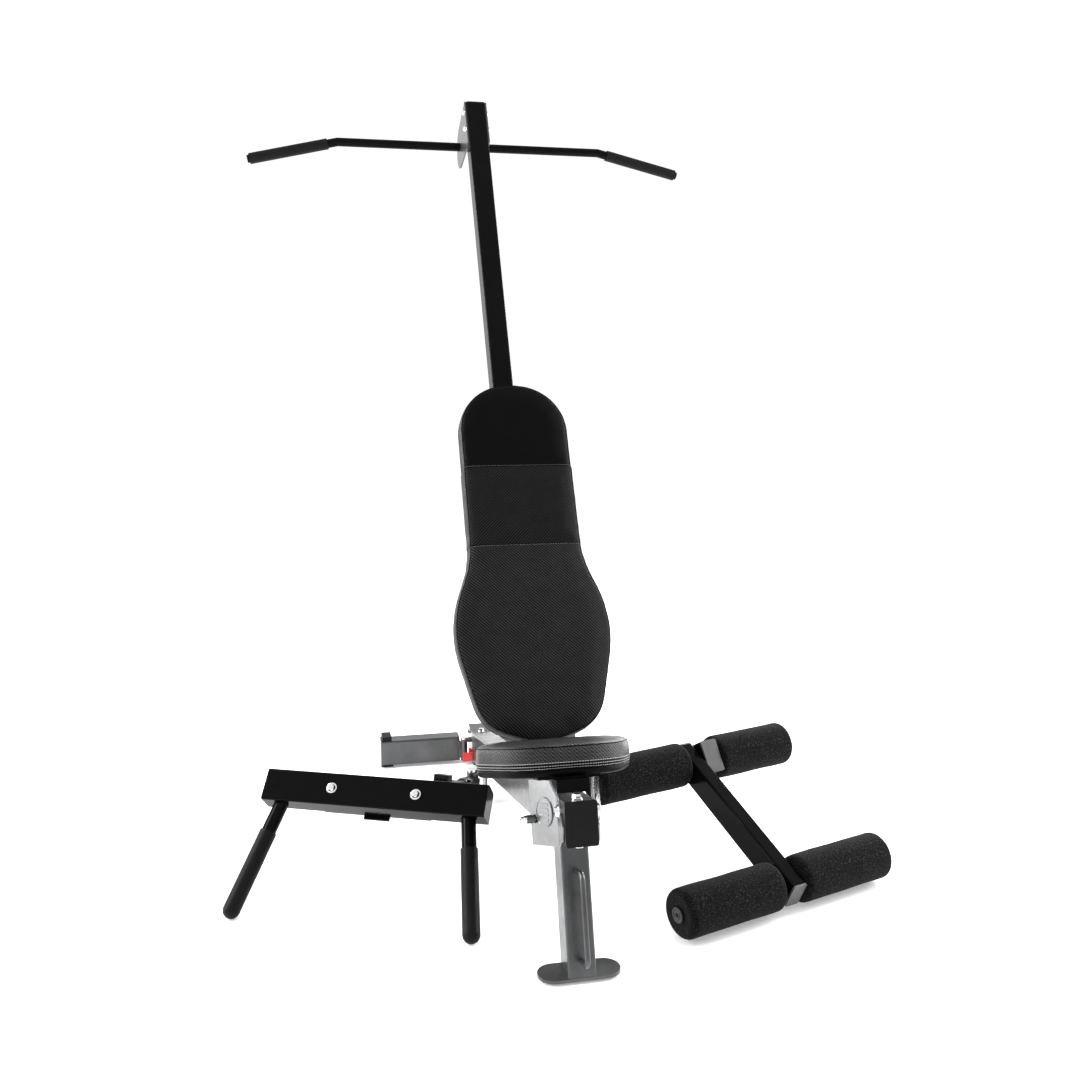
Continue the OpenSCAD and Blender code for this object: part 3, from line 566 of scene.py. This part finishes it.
def lay_weave(ob, loop):
    """UVs in metres: width and height on the broad faces, length round the rim and depth on the sides."""
    me = ob.data
    ring = resample(loop, 0.003)
    length = (ring[1] - ring[0]).length
    tree = KDTree(len(ring))
    for i, p in enumerate(ring):
        tree.insert(p, i)
    tree.balance()
    layer = me.uv_layers.new(name="weave")
    round_at = [tree.find(Vector((v.co.x, v.co.y, 0)))[1] * length for v in me.vertices]
    whole = len(ring) * length
    uv = np.zeros((len(me.loops), 2))
    for p in me.polygons:
        flat = abs(p.normal.z) > 0.62
        first = round_at[me.loops[p.loop_start].vertex_index]
        for li in p.loop_indices:
            vi = me.loops[li].vertex_index
            co = me.vertices[vi].co
            if flat:
                uv[li] = (co.x, co.y)
            else:
                a = round_at[vi]
                if a - first > whole / 2:
                    a -= whole
                elif first - a > whole / 2:
                    a += whole
                uv[li] = (a, co.z)
    layer.data.foreach_set("uv", uv.ravel())


def surface_tree(ob):
    me = ob.data
    return BVHTree.FromPolygons([v.co for v in me.vertices], [tuple(p.vertices) for p in me.polygons])


def lay_on(tree, points, lift):
    """The points moved onto the surface and then out by lift."""
    out = []
    for p in points:
        where, normal, _, _ = tree.find_nearest(p)
        out.append(where + normal * lift)
    return out


def stitches(tree, points, closed, pitch=0.0052, length=0.0038, radius=0.00055, lift=0.0001):
    """Short thread segments in a row, each dipping into the surface at its ends."""
    line = resample(points, pitch, closed)
    parts = []
    n = len(line)
    for i in range(n if closed else n - 1):
        a, b = line[i], line[(i + 1) % n]
        mid = (a + b) / 2
        half = (b - a).normalized() * length / 2
        along = [mid - half, mid - half * 0.6, mid, mid + half * 0.6, mid + half]
        laid = lay_on(tree, along, lift)
        parts.append(tube(laid, [radius * 0.45, radius, radius * 1.1, radius, radius * 0.45], 6))
    return merge(parts)


def cord_round(tree, points, radius, closed=True, lift=0.0):
    return tube(lay_on(tree, resample(points, 0.004, closed), lift), radius, 8, closed)


# ---------- CAD nodes take their slots' materials ----------

NODE_SLOTS = {s["node"]: s["material_slot"] for s in frame["record"]["subparts"]}
for node_name, node_ob in NODES.items():
    slot_name = NODE_SLOTS[node_name]
    node_ob.data.materials.clear()
    node_ob.data.materials.append(SLOT_MATERIALS[slot_name])


# ---------- seat ----------

seat_loop, seat_low, seat_high = outline("seat_pad", AT_SEAT)
seat_loop = resample(seat_loop, 0.005)
seat_edge = seat_high - 6 * MM
seat_profile = [
    (7 * MM, seat_low), (1 * MM, seat_low), (0.6 * MM, seat_low + 6 * MM), (0.5 * MM, seat_low + 22 * MM),
    (0.8 * MM, seat_edge - 5 * MM), (2 * MM, seat_edge - 1 * MM), (5 * MM, seat_edge + 2 * MM),
    (12 * MM, seat_edge + 3.5 * MM),
]
seat_welt_z = [seat_low + 3.5 * MM, seat_low + 9 * MM, seat_low + 14.5 * MM]
seat_rim = [Vector((p.x, p.y, seat_edge)) for p in inset(seat_loop, 2 * MM)]
seat_low_line = [Vector((p.x, p.y, seat_welt_z[1])) for p in inset(seat_loop, 0.6 * MM)]
seat_pad = cushion(
    "seat_cushion", seat_loop, seat_profile, AT_SEAT, 0.005, 5 * MM,
    [seat_rim, seat_low_line], [], seat_low + 1.5 * MM, 3.0,
)
lay_weave(seat_pad, seat_loop)
seat_pad.data.materials.append(M_WEAVE)
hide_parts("seat_pad")
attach(seat_pad, "seat")
seat_tree = surface_tree(seat_pad)

board_low, board_high = outline("seat_board", AT_SEAT)[1:]
wrap_loop = resample(seat_loop, 0.006)
wrap_profile = [
    (30 * MM, board_low), (12 * MM, board_low), (7 * MM, board_low + 1.2 * MM), (4 * MM, board_low + 4 * MM),
    (2.6 * MM, board_low + 8 * MM), (2.2 * MM, board_high - 1 * MM), (2.6 * MM, board_high + 1.5 * MM),
    (12 * MM, board_high + 1.5 * MM),
]
v, f = loft(wrap_loop, wrap_profile)
seat_wrap = new_piece("seat_cover_wrap", v, f, AT_SEAT, M_SMOOTH, "seat")
lay_weave(seat_wrap, wrap_loop)
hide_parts("seat_board")

thread_parts = []
welt_parts = []
for z in seat_welt_z:
    line = [Vector((p.x, p.y, z)) for p in seat_loop]
    thread_parts.append(stitches(seat_tree, line, True))
for z in (seat_low + 0.8 * MM, seat_low + 6.2 * MM, seat_low + 11.8 * MM):
    welt_parts.append(cord_round(seat_tree, [Vector((p.x, p.y, z)) for p in seat_loop], 1.5 * MM))
v, f = merge(thread_parts)
new_piece("seat_stitching", v, f, AT_SEAT, M_THREAD, "seat")
v, f = merge(welt_parts)
new_piece("seat_welts", v, f, AT_SEAT, M_SMOOTH, "seat")
rim_line = [Vector((p.x, p.y, seat_edge)) for p in seat_loop]
v, f = cord_round(seat_tree, rim_line, 1.3 * MM)
new_piece("seat_top_piping", v, f, AT_SEAT, M_SMOOTH, "seat")


# ---------- backrest ----------

back_loop, back_low, back_high = outline("backrest_pad", AT_BACK_PAD)
back_loop = resample(back_loop, 0.006)
back_edge = back_high - 6 * MM
back_profile = [
    (8 * MM, back_low), (1.2 * MM, back_low), (0.8 * MM, back_low + 5 * MM), (0.6 * MM, back_low + 20 * MM),
    (0.8 * MM, back_edge - 5 * MM), (1.8 * MM, back_edge - 1.5 * MM), (4 * MM, back_edge + 1 * MM),
    (9 * MM, back_edge + 3 * MM), (18 * MM, back_edge + 4 * MM),
]
back_rim = [Vector((p.x, p.y, back_edge)) for p in inset(back_loop, 2 * MM)]


def cross_line(height, lift=0.0):
    """A seam that crosses the pad's face and both sides at one height."""
    xs = [p.x for p in back_loop if abs(p.y - height) < 8 * MM]
    half = max(abs(x) for x in xs)
    side = [Vector((half, height, back_low + t * (back_edge - back_low) / 6)) for t in range(7)]
    face = [Vector((half * (1 - t / 30), height, back_edge + 3 * MM + lift)) for t in range(1, 60)]
    return side + face + [Vector((-p.x, p.y, p.z)) for p in reversed(side)]


back_seams = [cross_line(BACK_SEAM_HIGH), cross_line(BACK_SEAM_LOW)]
back_pad = cushion(
    "backrest_cushion", back_loop, back_profile, AT_BACK_PAD, 0.0055, 4 * MM,
    [back_rim], [resample(s, 0.003, False) for s in back_seams], back_low + 1.5 * MM, 3.0,
)
# The middle panel is a sleeve sewn over the pad, so it stands a little proud
co = mesh_points(back_pad.data)
nrm = np.zeros(len(co) * 3)
back_pad.data.vertices.foreach_get("normal", nrm)
nrm = nrm.reshape(-1, 3)
above_low = np.clip((co[:, 1] - BACK_SEAM_LOW) / 0.004, 0, 1)
below_high = np.clip((BACK_SEAM_HIGH - co[:, 1]) / 0.004, 0, 1)
inside = above_low * below_high
co = co + nrm * (inside * 1.3 * MM)[:, None] * (co[:, 2] > back_low + 2 * MM)[:, None]
back_pad.data.vertices.foreach_set("co", co.ravel())
back_pad.data.update()
lay_weave(back_pad, back_loop)
back_pad.data.materials.append(M_WEAVE_BACK)
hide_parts("backrest_pad")
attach(back_pad, "backrest")
back_tree = surface_tree(back_pad)

thread_parts = []
for height in (BACK_SEAM_HIGH + 1.8 * MM, BACK_SEAM_LOW - 1.8 * MM):
    line = [Vector((p.x, height, p.z)) for p in cross_line(height)]
    thread_parts.append(stitches(back_tree, resample(line, 0.003, False), False))
rim_stitch = [Vector((p.x, p.y, back_low + 13 * MM)) for p in back_loop]
thread_parts.append(stitches(back_tree, rim_stitch, True))
v, f = merge(thread_parts)
new_piece("backrest_stitching", v, f, AT_BACK_PAD, M_GREY_THREAD, "backrest")
welt_parts = [
    cord_round(back_tree, [Vector((p.x, p.y, back_edge)) for p in back_loop], 1.3 * MM),
    cord_round(back_tree, [Vector((p.x, p.y, back_low + 9 * MM)) for p in back_loop], 1.4 * MM),
]
for seam in back_seams:
    laid = lay_on(back_tree, resample(seam, 0.004, False), 0.0)
    welt_parts.append(tube(laid, 1.1 * MM, 8))
v, f = merge(welt_parts)
new_piece("backrest_welts", v, f, AT_BACK_PAD, M_SMOOTH, "backrest")


# ---------- foam rollers ----------

def along_axis(joint):
    """A frame on a roller's axis, with X along it towards the right."""
    axis = Vector(JOINTS[joint]["axis"]).normalized()
    if axis.x < 0:
        axis = -axis
    return pivot(joint) @ Vector((1, 0, 0)).rotation_difference(axis).to_matrix().to_4x4()


def roller(node, joint, body):
    """A foam sleeve with rounded rims and dished end faces, on its axle."""
    place = along_axis(joint)
    inv = place.inverted()
    pts = [inv @ v.co for v in NODES[node].data.vertices]
    x0, x1 = min(p.x for p in pts), max(p.x for p in pts)
    r = max(math.hypot(p.y, p.z) for p in pts) - 0.3 * MM
    bore = min(math.hypot(p.y, p.z) for p in pts)
    rim = 13 * MM
    profile = []
    for k in range(7):
        t = math.pi / 2 * k / 6
        profile.append((x0 + rim - rim * math.cos(t), r - rim + rim * math.sin(t)))
    steps = 26
    for k in range(1, steps):
        profile.append((x0 + rim + (x1 - x0 - 2 * rim) * k / steps, r))
    for k in range(7):
        t = math.pi / 2 * (1 - k / 6)
        profile.append((x1 - rim + rim * math.cos(t), r - rim + rim * math.sin(t)))
    dish = 1.5 * MM
    # The dished end faces: how many dishes deep, and the radius there
    face = [(0.5, r * 0.62), (1, r * 0.45), (2, bore + 1.5 * MM), (4, bore)]
    inner = [(x1 - deep * dish, radius) for deep, radius in face]
    outer = [(x0 + deep * dish, radius) for deep, radius in face]
    ring = list(reversed(outer)) + profile + inner
    v, f = lathe(ring + [ring[0]], 72)
    ob = new_piece(node + "_foam", v, f, place, M_FOAM, body)
    me = ob.data
    co = mesh_points(me)
    # Slight hand-cut unevenness
    around = np.arctan2(co[:, 2], co[:, 1])
    wob = 0.25 * MM * (np.sin(co[:, 0] * 61 + around * 3) + np.sin(co[:, 0] * 37 - 2 * around))
    radial = np.hypot(co[:, 1], co[:, 2])
    outer_skin = radial > r * 0.8
    scale = np.where(outer_skin, 1 - (0.5 * MM - wob) / np.maximum(radial, 1e-6), 1)
    co[:, 1] *= scale
    co[:, 2] *= scale
    me.vertices.foreach_set("co", co.ravel())
    me.update()
    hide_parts(node)
    return ob


def axle(node, joint, body):
    """The axle tube with a flanged plug in each end: a raised ring round a bolt hole."""
    place = along_axis(joint)
    inv = place.inverted()
    xs = [(inv @ v.co).x for v in NODES[node].data.vertices]
    x0, x1 = min(xs), max(xs)
    # Each pair is the distance in from the end and the radius
    plug_shape = [
        (7 * MM, 0), (7 * MM, 4.4 * MM), (0.8 * MM, 4.4 * MM), (0.1 * MM, 5.2 * MM), (0, 6 * MM),
        (0.1 * MM, 7.6 * MM), (1.1 * MM, 8.6 * MM), (1.1 * MM, 11.6 * MM), (0.1 * MM, 12.4 * MM), (0, 14 * MM),
        (0.4 * MM, 15.2 * MM),
        (1.2 * MM, 15.8 * MM), (2.9 * MM, 15.9 * MM), (3 * MM, 12.4 * MM),
    ]
    left = [(x0 + d, r) for d, r in plug_shape]
    right = [(x1 - d, r) for d, r in reversed(plug_shape)]
    v, f = lathe(left + right, 48)
    ob = new_piece(node + "_with_plugs", v, f, place, M_PLUG, body)
    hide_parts(node)


axle("upper_axle", "roller_upper_left_spin", "leg_station")
axle("lower_axle", "roller_lower_left_spin", "leg_link")
for place_name in ("upper", "lower"):
    for side_name in ("left", "right"):
        roller_node = "roller_%s_%s" % (place_name, side_name)
        roller(roller_node, roller_node + "_spin", "roller_" + place_name[0] + side_name[0])


# ---------- room, light and camera ----------

floor_low = CAD_BOUNDS[0][2]
bpy.ops.mesh.primitive_plane_add(size=40, location=(0, 0, floor_low - 0.0005))
floor = bpy.context.object
floor.name = "floor"
floor_shader = Shader("pale_floor", (0.92, 0.92, 0.92), 0.7, 0.0, 0.1)
floor_shader.put("Roughness", floor_shader.ramp(floor_shader.noise(3, 4), 0.3, 0.7, 0.6, 0.8))
floor_shader.put("Emission Color", (1, 1, 1, 1))
floor_shader.put("Emission Strength", 0.12)
floor.data.materials.append(floor_shader.mat)

scene = bpy.context.scene
world = bpy.data.worlds.new("studio")
scene.world = world
world.use_nodes = True
background = next(n for n in world.node_tree.nodes if n.type == "BACKGROUND")
background.inputs[0].default_value = (1, 1, 1, 1)
background.inputs[1].default_value = 0.62
scene.view_settings.view_transform = "Standard"
scene.view_settings.look = "None"
scene.view_settings.exposure = 0.75


def area_light(name, place, target, size, power, colour=(1, 1, 1)):
    data = bpy.data.lights.new(name, "AREA")
    data.shape = "RECTANGLE"
    data.size, data.size_y = size
    data.energy = power
    data.color = colour
    ob = bpy.data.objects.new(name, data)
    scene.collection.objects.link(ob)
    ob.location = place
    ob.rotation_euler = (Vector(target) - Vector(place)).to_track_quat("-Z", "Y").to_euler()
    return ob


area_light("strip_left", (-2.6, 0.6, 1.7), (0, 0.6, 0.8), (0.7, 3.4), 75)
area_light("strip_right", (2.6, 0.3, 1.5), (0, 0.4, 0.6), (0.6, 3.0), 65)
area_light("back_left", (-1.9, 2.6, 1.5), (0, 0, 0.4), (1.0, 1.6), 45)
area_light("back_right", (1.9, 2.4, 1.5), (0, 0, 0.4), (1.0, 1.6), 45)

camera = bpy.data.objects.new("camera", bpy.data.cameras.new("camera"))
scene.collection.objects.link(camera)
camera.location = (-0.4638, -1.8237, 1.0787)
camera.rotation_euler = (math.radians(90 - 8.3933), 0, math.radians(-12.0808))
camera.data.lens = 36.73
camera.data.sensor_width = 36
scene.camera = camera
